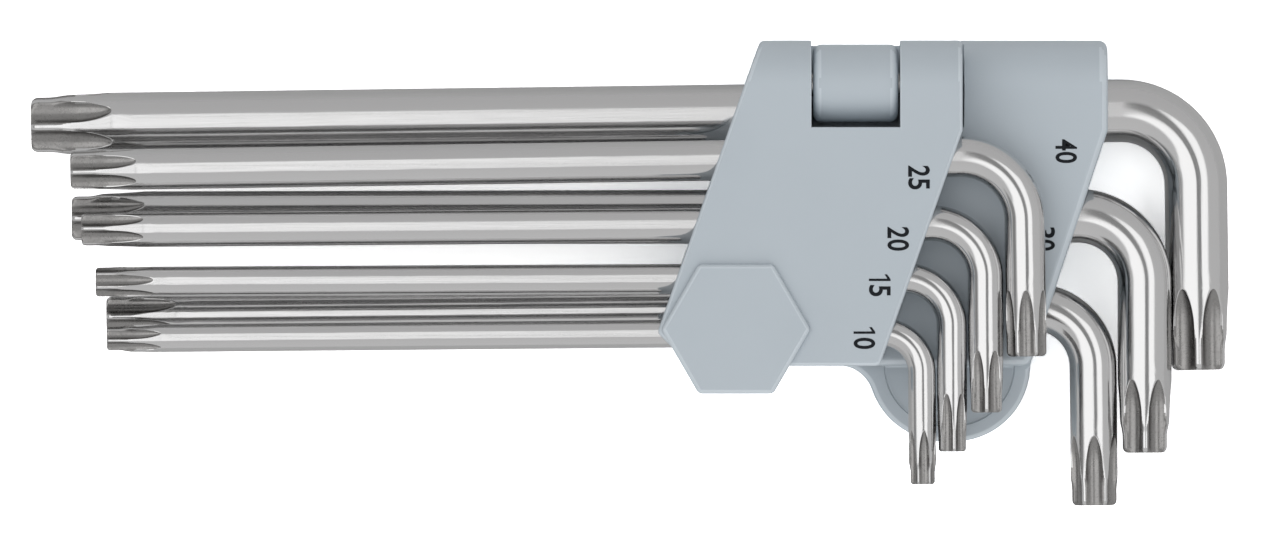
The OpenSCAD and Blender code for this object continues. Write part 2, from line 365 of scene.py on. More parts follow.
def settle(piece, body, node=None):
    """Puts a piece drawn about the hinge into the frame, and lets it ride on its body."""
    pick(piece)
    piece.scale = (MM, MM, MM)
    piece.location = hinge_place()
    bpy.ops.object.transform_apply(location=True, rotation=True, scale=True)
    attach(piece, body)
    if node:
        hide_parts(node)
    deselect()
    return piece


# Materials

# Attribute of the holder's faces that is 1 on rounded edges facing up, which get a painted highlight
HIGHLIGHT_RIM = "rim"


def new_material(name):
    material = bpy.data.materials.new(name)
    material.use_nodes = True
    tree = material.node_tree
    shader = next(n for n in tree.nodes if n.type == "BSDF_PRINCIPLED")
    return material, tree, shader


def add_node(tree, kind, values=None, **options):
    node = tree.nodes.new(kind)
    for name, value in options.items():
        setattr(node, name, value)
    for name, value in (values or {}).items():
        node.inputs[name].default_value = value
    return node


def pattern(tree, source, scale, kind="ShaderNodeTexNoise", stretch=(1, 1, 1), **values):
    """A noise on coordinates that are stretched along some axes."""
    mapping = add_node(tree, "ShaderNodeMapping", {"Scale": stretch})
    texture = add_node(tree, kind, {"Scale": scale, **values})
    tree.links.new(source, mapping.inputs["Vector"])
    tree.links.new(mapping.outputs["Vector"], texture.inputs["Vector"])
    return texture


def spread(tree, value, low, high, new_low, new_high):
    """Moves a range of values onto another one."""
    node = add_node(tree, "ShaderNodeMapRange", {
        "From Min": low, "From Max": high, "To Min": new_low, "To Max": new_high})
    tree.links.new(value, node.inputs["Value"])
    return node.outputs["Result"]


def mixed(tree, factor, first, second):
    """A mix of two colours, each given as a value or as the output of a node."""
    node = add_node(tree, "ShaderNodeMix", data_type="RGBA")
    for socket, tone in zip([s for s in node.inputs if s.type == "RGBA"], (first, second)):
        if isinstance(tone, bpy.types.NodeSocket):
            tree.links.new(tone, socket)
        else:
            socket.default_value = (*tone, 1)
    tree.links.new(factor, node.inputs["Factor"])
    return next(s for s in node.outputs if s.type == "RGBA")


def relief(tree, shader, heights):
    """Bumps from (height, strength, depth in metres) laid over each other."""
    normal = None
    for height, strength, depth in heights:
        bump = add_node(tree, "ShaderNodeBump", {"Strength": strength, "Distance": depth})
        tree.links.new(height, bump.inputs["Height"])
        if normal:
            tree.links.new(normal, bump.inputs["Normal"])
        normal = bump.outputs["Normal"]
    tree.links.new(normal, shader.inputs["Normal"])


def moulded_plastic():
    """Satin plastic with a fine moulded grain, a faint clouding and a painted highlight on the rounded edges
    that face up.
    """
    finish = settings("star_finish")
    material, tree, shader = new_material("moulded_plastic")
    place = add_node(tree, "ShaderNodeTexCoord").outputs["Object"]
    cloud = pattern(tree, place, 90, Detail=3)
    grain = pattern(tree, place, 2600, Detail=2)
    wave = pattern(tree, place, 260, Detail=1)
    tone = spread(tree, cloud.outputs["Fac"], 0.35, 0.65, 0, 1)
    clouded = mixed(tree, tone, finish.plastic, finish.plastic_shade)
    # Painted highlight: the rounded edges that face up take the lighter rim colour
    rim = add_node(tree, "ShaderNodeAttribute", attribute_name=HIGHLIGHT_RIM).outputs["Fac"]
    tree.links.new(mixed(tree, rim, clouded, finish.plastic_rim), shader.inputs["Base Color"])
    tree.links.new(spread(tree, grain.outputs["Fac"], 0.3, 0.7, 0.42, 0.52), shader.inputs["Roughness"])
    relief(tree, shader, [(wave.outputs["Fac"], 0.25, 0.00003), (grain.outputs["Fac"], 0.25, 0.000008)])
    return material


def polished_steel():
    """Bright drawn shaft with faint streaks along it. The UV map runs along the key and around it."""
    finish = settings("star_finish")
    material, tree, shader = new_material("key_steel_polished")
    along = add_node(tree, "ShaderNodeUVMap", uv_map="UVMap").outputs["UV"]
    streaks = pattern(tree, along, 12, stretch=(0.12, 9, 1), Detail=3)
    specks = pattern(tree, along, 90, stretch=(0.6, 2.5, 1), Detail=4)
    tree.links.new(spread(tree, streaks.outputs["Fac"], 0.3, 0.7, 0.08, 0.16), shader.inputs["Roughness"])
    relief(tree, shader, [(streaks.outputs["Fac"], 0.16, 0.00002), (specks.outputs["Fac"], 0.14, 0.00001)])
    shader.inputs["Base Color"].default_value = (*finish.steel, 1)
    shader.inputs["Metallic"].default_value = 1
    return material


def forged_steel():
    """Pressed flutes: duller, with small dark pits."""
    finish = settings("star_finish")
    material, tree, shader = new_material("key_steel_forged")
    place = add_node(tree, "ShaderNodeTexCoord").outputs["Object"]
    pits = pattern(tree, place, 4200, Detail=4, Roughness=0.7)
    cloud = pattern(tree, place, 700, Detail=3)
    tone = spread(tree, pits.outputs["Fac"], 0.5, 0.7, 0, 1)
    tree.links.new(mixed(tree, tone, finish.forged, finish.forged_dark), shader.inputs["Base Color"])
    tree.links.new(spread(tree, cloud.outputs["Fac"], 0.3, 0.7, 0.24, 0.34), shader.inputs["Roughness"])
    relief(tree, shader, [(cloud.outputs["Fac"], 0.3, 0.00005), (pits.outputs["Fac"], 0.25, 0.00002)])
    shader.inputs["Metallic"].default_value = 1
    return material


def drawn_wire():
    """The hinge pin: plain wire with rings left by cutting."""
    finish = settings("star_finish")
    material, tree, shader = new_material("pin_steel_drawn")
    place = add_node(tree, "ShaderNodeTexCoord").outputs["Object"]
    marks = pattern(tree, place, 900, stretch=(0.15, 1, 1), Detail=3)
    tree.links.new(spread(tree, marks.outputs["Fac"], 0.3, 0.7, 0.22, 0.34), shader.inputs["Roughness"])
    relief(tree, shader, [(marks.outputs["Fac"], 0.2, 0.00001)])
    shader.inputs["Base Color"].default_value = (*finish.steel, 1)
    shader.inputs["Metallic"].default_value = 1
    return material


def printed_ink():
    """Thin printed layer, a little uneven."""
    finish = settings("star_finish")
    material, tree, shader = new_material("number_ink")
    place = add_node(tree, "ShaderNodeTexCoord").outputs["Object"]
    grain = pattern(tree, place, 6000, Detail=2)
    tree.links.new(spread(tree, grain.outputs["Fac"], 0.3, 0.7, 0.6, 0.75), shader.inputs["Roughness"])
    shader.inputs["Base Color"].default_value = (*finish.ink, 1)
    shader.inputs["Specular IOR Level"].default_value = 0.15
    return material


# Keys

# Columns of the mesh across half a sixth of the star: in the flute, then over the crest
FLUTE_STEPS = (0, 0.2, 0.4, 0.6, 0.75, 0.86, 0.93, 0.97, 1)
CREST_STEPS = (0.08, 0.18, 0.3, 0.5, 0.75, 1)
# Columns of half a sixth that keep the dull forged skin at the tip and where a flute runs out
DULL_TIP, DULL_END = 12, 7
# Shares of the fluted length between which the polished strip on a crest gets wider
STRIP_START, STRIP_END = 0.3, 0.6
HALF = len(FLUTE_STEPS) + len(CREST_STEPS) - 1
SECTOR = 2 * HALF
AROUND = 6 * SECTOR
# Share of the fluted length that keeps the full star diameter; the lobes widen over as much again
CREST_SHARE = 0.22
# Shares of the fluted length between which the round lobes flatten into the shaft
LOBE_END, SHAFT_START = 0.3, 0.75
# Bluntness of a flute's end, where a lower number is blunter
RUN_OUT = 0.8
# Depth of the rounding at a tip, as a share of its length
NOSE_DEPTH = 0.9
# Half angle of a flute at its very end, and of the flutes' columns where the shaft is plain
THIN_FLUTE, PLAIN_FLUTE = math.radians(0.5), math.radians(15)
# Share of the fluted length over which the columns spread out again behind a flute
SPREAD = 0.25
SIXTH = math.pi / 3
# Rings of the mesh along the rounding of a tip, a flute's run-out, the long arm and the bend
NOSE_RINGS, ARCH_RINGS, ARM_RINGS, BEND_RINGS = 6, 16, 24, 28
# Places of more rings: around the widening of the lobes and behind the flutes
CREST_RINGS = (0.5, 0.75, 1, 1.2, 1.4, 1.6, 1.8, 2)
SHAFT_RINGS = (1.04, 1.1, 1.18, 1.27)
# Power that crowds the rings of a run-out towards its end
CROWDING = 1.5
# Millimetres for one unit of the UV map, and the distance within which corners are merged
UV_UNIT = 10
MERGE = 0.0005


def eased(share):
    """From 0 to 1 with a soft start and end."""
    share = min(1, max(0, share))
    return share * share * (3 - 2 * share)


class Key:
    """One key: its centre lines from the frame's mounts, and the shape of its star."""

    def __init__(self, size):
        sizes = InMillimetres("star_keys")
        i = SIZES.index(size)
        self.name = f"key_{size}"
        low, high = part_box(self.name)
        mounts = {m["name"]: m for m in frame["record"]["mounts"]}
        long_end, short_end = (mounts[f"star_{size}_{end}"] for end in ("long", "short"))
        self.long_tip = from_hinge(long_end["pos_m"])
        self.short_tip = from_hinge(short_end["pos_m"])
        self.along = -Vector(long_end["axis"])
        self.down = Vector(short_end["axis"])
        self.corner = self.long_tip + self.along * (self.short_tip - self.long_tip).dot(self.along)
        self.shaft_r = rounded((high.z - low.z) / MM) / 2
        self.star_r = sizes.star_d[i] / 2
        self.bend = sizes.bend_r[i]
        self.turns = (-sizes.turn_long[i], sizes.turn_short[i])
        self.nose = sizes.nose_share * 2 * self.star_r
        self.lobe_r = sizes.lobe_share * 2 * self.star_r
        self.lip_round = sizes.lip_round
        self.flute_len = sizes.flute_base + sizes.flute_gain * 2 * self.star_r
        self.flute_full = self.flute_len / 2
        self.cut_r = sizes.flute_share * 2 * self.star_r
        self.axis_r = sizes.root_share * self.star_r + self.cut_r
        self.sections = {}
        self.runs = ((self.corner - self.long_tip).length - self.bend,
                     (self.corner - self.short_tip).length - self.bend)

    def crest_r(self, z):
        """Radius over the crests at a distance from the tip."""
        if z < self.nose:
            back = 1 - z / self.nose
            return self.star_r - NOSE_DEPTH * self.nose * (1 - math.sqrt(1 - back * back))
        return self.star_r + (self.shaft_r - self.star_r) * eased(z / self.flute_len / CREST_SHARE - 1)

    def cutter_r(self, z):
        """Radius of the flutes' cutter, which gets smaller where a flute runs out."""
        u = (z - self.flute_full) / (self.flute_len - self.flute_full)
        u = min(1, max(0, u))
        end_r = self.axis_r - self.shaft_r
        return self.cut_r - (self.cut_r - end_r) * (1 - (1 - u * u) ** RUN_OUT)

    def section(self, z):
        """The star at a distance from the tip: radius and place of a lobe, radius of the flutes' cutter, and
        the angle from the middle of a flute to the point where it meets the lobe."""
        if z in self.sections:
            return self.sections[z]
        crest, cut = self.crest_r(z), self.cutter_r(z)
        share = eased((z / self.flute_len - LOBE_END) / (SHAFT_START - LOBE_END))
        radius = self.lobe_r + (crest - self.lobe_r) * share
        away = crest - radius
        if z < self.flute_len:
            middle = Vector((math.cos(SIXTH / 2), math.sin(SIXTH / 2))) * away
            across = Vector((self.axis_r, 0)) - middle
            apart = across.length
            reach = min(radius, (radius * radius - cut * cut + apart * apart) / (2 * apart))
            side = math.sqrt(radius * radius - reach * reach)
            meeting = middle + across / apart * reach + Vector((-across.y, across.x)) / apart * side
            half = max(THIN_FLUTE, math.atan2(meeting.y, meeting.x))
        else:
            half = THIN_FLUTE + (PLAIN_FLUTE - THIN_FLUTE) * min(1, (z / self.flute_len - 1) / SPREAD)
        self.sections[z] = radius, away, cut, half
        return self.sections[z]

    def radius(self, z, turn):
        """Radius of the star at an angle from the middle of a flute."""
        if z >= self.flute_len:
            return self.crest_r(z)
        radius, away, cut, half = self.section(z)
        aside = away * math.sin(SIXTH / 2 - max(turn, half))
        lobe = math.sqrt(away * away - aside * aside) + math.sqrt(max(0, radius * radius - aside * aside))
        side = self.axis_r * math.sin(turn)
        if side >= cut:
            return lobe
        flute = self.axis_r * math.cos(turn) - math.sqrt(cut * cut - side * side)
        blend = min(self.lip_round, max(1e-4, lobe - (self.axis_r - cut)))
        mix = min(1, max(0, 0.5 + 0.5 * (flute - lobe) / blend))
        return flute + (lobe - flute) * mix - blend * mix * (1 - mix)

    def dull_columns(self, z):
        """How many columns beside the middle of a flute have the forged skin."""
        if z > self.flute_len - 1e-6:
            return 0
        share = eased((z / self.flute_len - STRIP_START) / (STRIP_END - STRIP_START))
        return round(DULL_TIP + (DULL_END - DULL_TIP) * share)

    def column(self, z, j):
        """Angle of a column of the mesh, and its angle from the nearest flute."""
        sector, i = divmod(j, SECTOR)
        half = self.section(z)[3]
        step = i if i <= HALF else SECTOR - i
        if step < len(FLUTE_STEPS):
            turn = half * FLUTE_STEPS[step]
        else:
            turn = half + (SIXTH / 2 - half) * CREST_STEPS[step - len(FLUTE_STEPS)]
        around = sector * SIXTH + (turn if i <= HALF else SIXTH - turn)
        return around, turn

    def tip_heights(self):
        """Distances from a tip at which the mesh has rings."""
        full = self.flute_full
        nose = [self.nose * (1 - math.cos(math.pi / 2 * i / NOSE_RINGS)) for i in range(NOSE_RINGS + 1)]
        crests = [self.flute_len * CREST_SHARE * s for s in CREST_RINGS]
        arches = [full + (self.flute_len - full) * (1 - (1 - i / ARCH_RINGS) ** CROWDING)
                  for i in range(ARCH_RINGS + 1)]
        return nose + crests + arches + [self.flute_len * s for s in SHAFT_RINGS]

    def rings(self):
        """Rings along the key: centre, outward normal of the bend, height above the tip, end, turn."""
        heights = self.tip_heights()
        first, last = self.turns
        swing = (last - first + SIXTH / 2) % SIXTH - SIXTH / 2
        start = heights[-1]
        stretch = self.runs[0] - start
        rings = [(self.long_tip + self.along * z, -self.down, z, first) for z in heights]
        for i in range(1, ARM_RINGS + 1):
            z = start + stretch * i / ARM_RINGS
            rings.append((self.long_tip + self.along * z, -self.down, z, first + swing * i / ARM_RINGS))
        centre = self.corner - self.along * self.bend + self.down * self.bend
        for i in range(1, BEND_RINGS):
            a = math.radians(90 * i / BEND_RINGS)
            out = self.along * math.sin(a) - self.down * math.cos(a)
            rings.append((centre + out * self.bend, out, start, first + swing))
        for z in [self.runs[1]] + heights[::-1]:
            rings.append((self.short_tip - self.down * z, self.along, z, first + swing))
        return rings


def roll_key(size, materials):
    """A grid rolled round the centre line of a key, closed at both tips."""
    key = Key(size)
    rings = key.rings()
    rows = [(0, 0.0)] + [(i, 1.0) for i in range(len(rings))] + [(len(rings) - 1, 0.0)]
    deselect()
    bpy.ops.mesh.primitive_grid_add(x_subdivisions=AROUND, y_subdivisions=len(rows) - 1, size=2)
    piece = named(key.name.replace("key", "star_key"))
    mesh = piece.data
    up = Vector((0, 0, 1))
    run, before = [], None
    for row, (ring, open_share) in enumerate(rows):
        centre, out, z, twist = rings[ring]
        run.append((run[-1] + (centre - before).length) if row else 0.0)
        before = centre
        for j in range(AROUND + 1):
            around, turn = key.column(z, j % AROUND)
            r = key.radius(z, turn) * open_share
            a = around + twist
            mesh.vertices[row * (AROUND + 1) + j].co = centre + r * (math.cos(a) * up + math.sin(a) * out)
    layer = mesh.uv_layers[0].data
    for face in mesh.polygons:
        row, j = divmod(face.index, AROUND)
        z = min(rings[rows[row][0]][2], rings[rows[row + 1][0]][2])
        i = j % SECTOR
        fluted = min(i, SECTOR - 1 - i) < key.dull_columns(z)
        end = row in (0, len(rows) - 2)
        face.material_index = 1 if fluted or end else 0
        for loop in face.loop_indices:
            vertex_row, vertex_j = divmod(mesh.loops[loop].vertex_index, AROUND + 1)
            around = vertex_j / AROUND * 2 * math.pi * key.shaft_r
            layer[loop].uv = (run[vertex_row] / UV_UNIT, around / UV_UNIT)
    bpy.ops.object.mode_set(mode="EDIT")
    bpy.ops.mesh.select_all(action="SELECT")
    bpy.ops.mesh.remove_doubles(threshold=MERGE)
    bpy.ops.object.mode_set(mode="OBJECT")
    face_outwards(piece)
    smooth(piece, weighted=False)
    for material in materials:
        piece.data.materials.append(material)
    return settle(piece, key.name, key.name)


# Holder

# Roundings in the corners of the hollow cells and at the ends of the pin, in millimetres
CELL_ROUND, PIN_ROUND = 0.8, 0.25
# Roundings of the pad's rim and of the dish, as shares of the fine rounding and of the dish's depth
PAD_SHARE, DISH_SHARE = 1.3, 0.9
# The front face over a hollow, as a share of the wall
FACE_SHARE = 2 / 3
# Root of the lobe inside the back leaf: heights of its corners over the leaf's lower edge, at the
# right, at the left and at the top, and how far the top one lies in from the right
ROOT_RIGHT, ROOT_LEFT, ROOT_TOP, ROOT_IN = 2.5, 4, 6, 4
# Upward part of the normals of faces that count as a rounded edge and get the painted highlight, from steep
# to flat, and the part along the hinge below which a face belongs to a rolled knuckle
HIGHLIGHT_STEEP, HIGHLIGHT_FLAT, ROLLED = 0.5, 0.985, 0.05


def left_edge(h, y):
    """Slanted left edge of both leaves, as x at a height y."""
    return -h.knuckle_left + (y - knuckle_radius()) * math.tan(h.front_lean)


def right_edge(h, y):
    return h.knuckle_right + min(0, y + h.front_shoulder) * math.tan(h.front_lean)


def back_edge(h, y):
    return h.back_right + min(0, y + h.back_shoulder) * math.tan(h.back_lean)


def knuckle_radius():
    """The front leaf's box is as deep below the axis as its knuckles."""
    low, _ = node_box("front_leaf")
    return rounded(-low.z)


def pin_radius():
    low, high = node_box("hinge_pin")
    return (high.z - low.z) / 2


def leaf_faces(h):
    """Heights of the front face, the inner faces of the front and back leaf, and the outer face."""
    top = knuckle_radius()
    inner = 2 * Key(FRONT_SIZES[0]).corner.z - top
    low, _ = node_box("back_leaf")
    return top, inner, inner - h.leaf_gap, low.z


def front_outline(h, top):
    heel_y = h.heel - h.drop
    heel_x = left_edge(h, heel_y)
    return [(left_edge(h, top), top), (heel_x, heel_y), (heel_x + h.heel, -h.drop),
            (right_edge(h, -h.drop), -h.drop), (h.knuckle_right, -h.front_shoulder), (h.knuckle_right, top)]


def hollow_cells(h, top, low, high):
    """Cutters for the hollow of a leaf: three cells between slanted ribs, inside the outer wall."""
    outline = front_outline(h, knuckle_radius())
    lean = math.tan(h.front_lean)
    span = right_edge(h, -h.drop) - left_edge(h, -h.drop)
    cells = []
    for i in range(3):
        a = left_edge(h, 0) + i * span / 3 + h.rib / 2
        b = left_edge(h, 0) + (i + 1) * span / 3 - h.rib / 2
        plan = [(a - top * lean, -top), (a - h.drop * lean, -h.drop), (b - h.drop * lean, -h.drop),
                (b - top * lean, -top)]
        cell = slab("cell", plan, low, high)
        for p, q in zip(outline, outline[1:] + outline[:1]):
            side = Vector((q[1] - p[1], p[0] - q[0], 0)).normalized()
            cut_plane(cell, Vector((*p, 0)) - side * h.wall, side)
        bevel(cell, CELL_ROUND, 3, lambda mid, a, b: abs(a.z - b.z) > 1)
        cells.append(cell)
    return cells


def mark_rims(leaf):
    """Marks the rounded edges that face up, but not the round knuckles, for the painted highlight."""
    rim = leaf.data.attributes.new(HIGHLIGHT_RIM, "FLOAT", "FACE")
    radius = knuckle_radius()
    for face in leaf.data.polygons:
        rolled = abs(face.normal.x) < ROLLED and face.center.y > -radius
        rim.data[face.index].value = HIGHLIGHT_STEEP < face.normal.z < HIGHLIGHT_FLAT and not rolled


def bore_tool(h, size):
    """Cutter for the bore of a key, with the wider mouth that clears the bend."""
    key = Key(size)
    r = key.shaft_r + h.key_fit
    mouth = h.mouth_share * key.bend
    flare = key.bend - math.sqrt(key.bend ** 2 - mouth ** 2)
    deselect()
    bpy.ops.mesh.primitive_cylinder_add(vertices=72, radius=r, depth=REACH * 2, location=(0, 0, -REACH))
    tool = named("bore")
    bpy.ops.object.transform_apply(location=True)
    bpy.ops.object.mode_set(mode="EDIT")
    bpy.ops.mesh.select_all(action="DESELECT")
    mesh = bmesh.from_edit_mesh(tool.data)
    for face in mesh.faces:
        face.select_set(face.normal.z > 0.5)
    bmesh.update_edit_mesh(tool.data)
    bpy.ops.mesh.extrude_region_move(TRANSFORM_OT_translate={"value": (0, 0, mouth)})
    bpy.ops.transform.resize(value=((r + flare) / r, (r + flare) / r, 1), center_override=(0, 0, 0))
    bpy.ops.object.mode_set(mode="OBJECT")
    out = -key.down
    turned = Matrix((Vector((0, 0, 1)), out, key.along)).transposed().to_4x4()
    tool.data.transform(Matrix.Translation(key.corner - key.along * key.bend) @ turned)
    face_outwards(tool)
    return tool


def pin_bore(radius, start, end):
    deselect()
    bpy.ops.mesh.primitive_cylinder_add(
        vertices=48, radius=radius, depth=end - start, location=((start + end) / 2, 0, 0),
        rotation=(0, math.pi / 2, 0))
    tool = named("pin_bore")
    bpy.ops.object.transform_apply(location=True, rotation=True)
    return tool


def make_front_leaf(material):
    h = InMillimetres("star_holder")
    top, inner, _, _ = leaf_faces(h)
    over = top + 2 * SPARE
    leaf = slab("front_leaf_shell", front_outline(h, over), -top - SPARE, top + SPARE)
    start = math.degrees(math.atan2(inner, -math.sqrt(top * top - inner * inner))) % 360
    profile = [(-REACH, inner)] + arc((0, 0), top, start, 450, 60) + [(-REACH, top)]
    combine(leaf, bar("profile", profile, -REACH, REACH), "INTERSECT")
    bevel(leaf, h.front_round, 5, lambda mid, a, b: mid.z > inner + 0.1 or mid.y > -top + 0.3)
    slot = h.centre_w / 2 + h.slot_gap
    slot_drop = h.centre_r + h.centre_lift + h.slot_gap
    cut = slab("slot", [(-slot, -slot_drop), (slot, -slot_drop), (slot, over), (-slot, over)], -over, over)
    combine(leaf, cut, "DIFFERENCE")

    def on_slot(mid, a, b):
        at_side = abs(abs(mid.x) - slot) < NEAR and mid.y > -slot_drop - NEAR
        at_end = abs(mid.y + slot_drop) < NEAR and abs(mid.x) < slot + NEAR
        return (at_side or at_end) and abs(a.z - b.z) < 3

    bevel(leaf, h.fine_round, 4, on_slot)
    pad_r = h.pad_w / 2
    corners = [math.radians(60 * i) for i in range(6)]
    hexagon = [(pad_r * math.cos(a) - h.pad_x, pad_r * math.sin(a) - h.pad_drop) for a in corners]
    pad = slab("pad", hexagon, inner, top + h.pad_rise)
    bevel(pad, h.fine_round * PAD_SHARE, 4, lambda mid, a, b: mid.z > top or abs(a.z - b.z) > 1)
    combine(leaf, pad, "UNION")
    for cell in hollow_cells(h, slot_drop + h.wall, inner - SPARE, top - h.wall * FACE_SHARE):
        combine(leaf, cell, "DIFFERENCE")
    for size in FRONT_SIZES:
        combine(leaf, bore_tool(h, size), "DIFFERENCE")
    combine(leaf, pin_bore(pin_radius(), -h.knuckle_left, over * 3), "DIFFERENCE")
    mark_rims(leaf)
    smooth(leaf)
    leaf.data.materials.append(material)
    return settle(leaf, "front_leaf", "front_leaf")


def lobe_plan(h):
    """Outline of the finger lobe, with the hollow corner at its left and its root inside the leaf."""
    left = h.lobe_x - h.lobe_flat / 2
    right = h.lobe_x + h.lobe_flat / 2
    start = ROOT_RIGHT - h.drop
    reach = math.sqrt(h.lobe_r ** 2 + 2 * h.lobe_r * h.lobe_fillet)
    corner = (left - reach, -h.drop - h.lobe_fillet)
    touch = math.degrees(math.atan2(h.lobe_fillet, reach))
    plan = [(back_edge(h, start), start)]
    plan += arc((right, -h.drop), h.lobe_r, 0, -90, 24)
    plan += arc((left, -h.drop), h.lobe_r, -90, touch - 180, 24)
    plan += arc(corner, h.lobe_fillet, touch, 90, 8)[1:]
    return plan + [(corner[0], ROOT_LEFT - h.drop), (back_edge(h, start) - ROOT_IN, ROOT_TOP - h.drop)]


def make_back_leaf(material):
    h = InMillimetres("star_holder")
    top, _, inner, bottom = leaf_faces(h)
    over = h.back_roll + 2 * SPARE
    outline = front_outline(h, over)[:3]
    outline += [(back_edge(h, -h.drop), -h.drop), (h.back_right, -h.back_shoulder), (h.back_right, over)]
    leaf = slab("back_leaf_shell", outline, bottom - SPARE, inner + SPARE)
    profile = [(-REACH, bottom), (h.back_roll, bottom)]
    profile += arc((0, inner - h.back_roll), h.back_roll, 0, 90, 20) + [(-REACH, inner)]
    combine(leaf, bar("profile", profile, -REACH, REACH), "INTERSECT")
    bevel(leaf, h.back_round, 5, lambda mid, a, b: True)
    recess_r = top + h.swing_gap
    recess = [(2 * recess_r, recess_r)] + arc((0, 0), recess_r, 90, 270, 48) + [(2 * recess_r, -recess_r)]
    recess_left, recess_right = left_edge(h, -h.drop), h.knuckle_right + h.swing_gap
    combine(leaf, bar("recess", recess, recess_left, recess_right), "DIFFERENCE")
    step = [(h.back_top, bottom - SPARE), (over, bottom - SPARE), (over, over), (h.back_top, over)]
    combine(leaf, bar("step", step, recess_left, h.knuckle_right), "DIFFERENCE")
    bevel(leaf, h.fine_round, 3, lambda mid, a, b: abs(mid.x - recess_right) < NEAR and mid.z > inner - 4)
    half = h.centre_w / 2
    foot = -recess_r - SPARE / 2
    knuckle = [(h.centre_lift - h.centre_r, foot)] + arc((h.centre_lift, 0), h.centre_r, 180, 0, 48)
    neck = bar("knuckle", knuckle + [(h.centre_lift + h.centre_r, foot)], -half, half)
    bevel(neck, h.centre_round, 6, lambda mid, a, b: mid.z > -recess_r and abs(abs(mid.x) - half) < NEAR)
    combine(leaf, neck, "UNION")
    lobe = slab("lobe", lobe_plan(h), bottom, inner - h.lobe_step)
    outer = SPARE / 2 - h.drop
    bevel(lobe, h.lobe_round, 8, lambda mid, a, b: max(a.y, b.y) < outer and mid.z > bottom + 1)
    bevel(lobe, h.back_round, 4, lambda mid, a, b: max(a.y, b.y) < outer and mid.z < bottom + 0.1)
    dish_r = h.lobe_r - h.lobe_rim
    dish = arc((h.lobe_x + h.lobe_flat / 2, -h.drop), dish_r, 0, -90, 24)
    dish += arc((h.lobe_x - h.lobe_flat / 2, -h.drop), dish_r, -90, -180, 24)
    hollow = slab("dish", dish, inner - h.lobe_step - h.lobe_dish, inner - h.lobe_step + SPARE)
    bevel(hollow, h.lobe_dish * DISH_SHARE, 3, lambda mid, a, b: mid.z < inner - h.lobe_step)
    combine(lobe, hollow, "DIFFERENCE")
    combine(leaf, lobe, "UNION")
    biggest = Key(BACK_SIZES[-1])
    bore_edge = biggest.shaft_r - biggest.corner.y + 2 * h.wall
    for cell in hollow_cells(h, bore_edge, bottom + h.wall, inner + SPARE):
        combine(leaf, cell, "DIFFERENCE")
    for size in BACK_SIZES:
        combine(leaf, bore_tool(h, size), "DIFFERENCE")
    combine(leaf, pin_bore(pin_radius() + h.key_fit, -h.knuckle_left, h.knuckle_right), "DIFFERENCE")
    mark_rims(leaf)
    smooth(leaf)
    leaf.data.materials.append(material)
    return settle(leaf, "back_leaf", "back_leaf")


def make_pin(material):
    """The hinge pin, with its cut ends a little rounded."""
    low, high = node_box("hinge_pin")
    deselect()
    bpy.ops.mesh.primitive_cylinder_add(
        vertices=64, radius=pin_radius(), depth=high.x - low.x, location=((low.x + high.x) / 2, 0, 0),
        rotation=(0, math.pi / 2, 0))
    pin = named("hinge_pin_wire")
    bpy.ops.object.transform_apply(location=True, rotation=True)
    bevel(pin, PIN_ROUND, 4, lambda mid, a, b: abs(a.x - b.x) < NEAR)
    smooth(pin)
    pin.data.materials.append(material)
    return settle(pin, "front_leaf", "hinge_pin")


# Middles of the size numbers on the leaves, in millimetres from the hinge axis
NUMBER_PLACES = {10: (0.95, -28.0), 15: (2.65, -22.15), 20: (4.7, -17.1), 25: (7.0, -10.3),
                 27: (18.3, -26.4), 30: (21.0, -17.1), 40: (23.45, -7.35)}
INK_DEPTH = 0.02
INK_WEIGHT = 0.018
# Corners of the digit 1, in shares of its height, because the built-in font draws a plain bar
DIGIT_ONE = ((0.29, 0), (0.40, 0), (0.40, 1), (0.31, 1), (0.09, 0.84), (0.09, 0.72), (0.29, 0.85))


def drawn_digit(digit, h):
    """One digit that lies in the plan, with its lower left corner at the origin."""
    if digit == "1":
        tall = h.number_height
        return slab("digit", [(x * tall, y * tall) for x, y in DIGIT_ONE], -INK_DEPTH, INK_DEPTH)
    deselect()
    bpy.ops.object.text_add()
    text = bpy.context.object
    text.data.body = digit
    text.data.extrude = INK_DEPTH
    text.data.offset = INK_WEIGHT
    text.data.resolution_u = 6
    bpy.ops.object.convert(target="MESH")
    glyph = named("digit")
    corners = [v.co.copy() for v in glyph.data.vertices]
    low, high = (Vector([pick_end(c[i] for c in corners) for i in range(2)]) for pick_end in (min, max))
    fit = Matrix.Diagonal((h.digit_width / (high.x - low.x), h.number_height / (high.y - low.y), 1, 1))
    glyph.data.transform(fit @ Matrix.Translation((-low.x, -low.y, 0)))
    return glyph


def print_number(size, material):
    """A size number, printed on the leaf that holds its key, and read from above downwards."""
    h = InMillimetres("star_holder")
    front_face, _, back_face, _ = leaf_faces(h)
    glyphs = [drawn_digit(digit, h) for digit in str(size)]
    for i, glyph in enumerate(glyphs):
        glyph.data.transform(Matrix.Translation((i * (h.number_width - h.digit_width), 0, 0)))
    deselect()
    for glyph in glyphs:
        glyph.select_set(True)
    bpy.context.view_layer.objects.active = glyphs[0]
    bpy.ops.object.join()
    number = named(f"number_{size}")
    front = size in FRONT_SIZES
    x, y = NUMBER_PLACES[size]
    place = Matrix.Translation((x, y, front_face if front else back_face))
    middle = Matrix.Translation((-h.number_width / 2, -h.number_height / 2, 0))
    number.data.transform(place @ Matrix.Rotation(-math.pi / 2, 4, "Z") @ middle)
    number.data.materials.append(material)
    return settle(number, "front_leaf" if front else "back_leaf")


# Stage

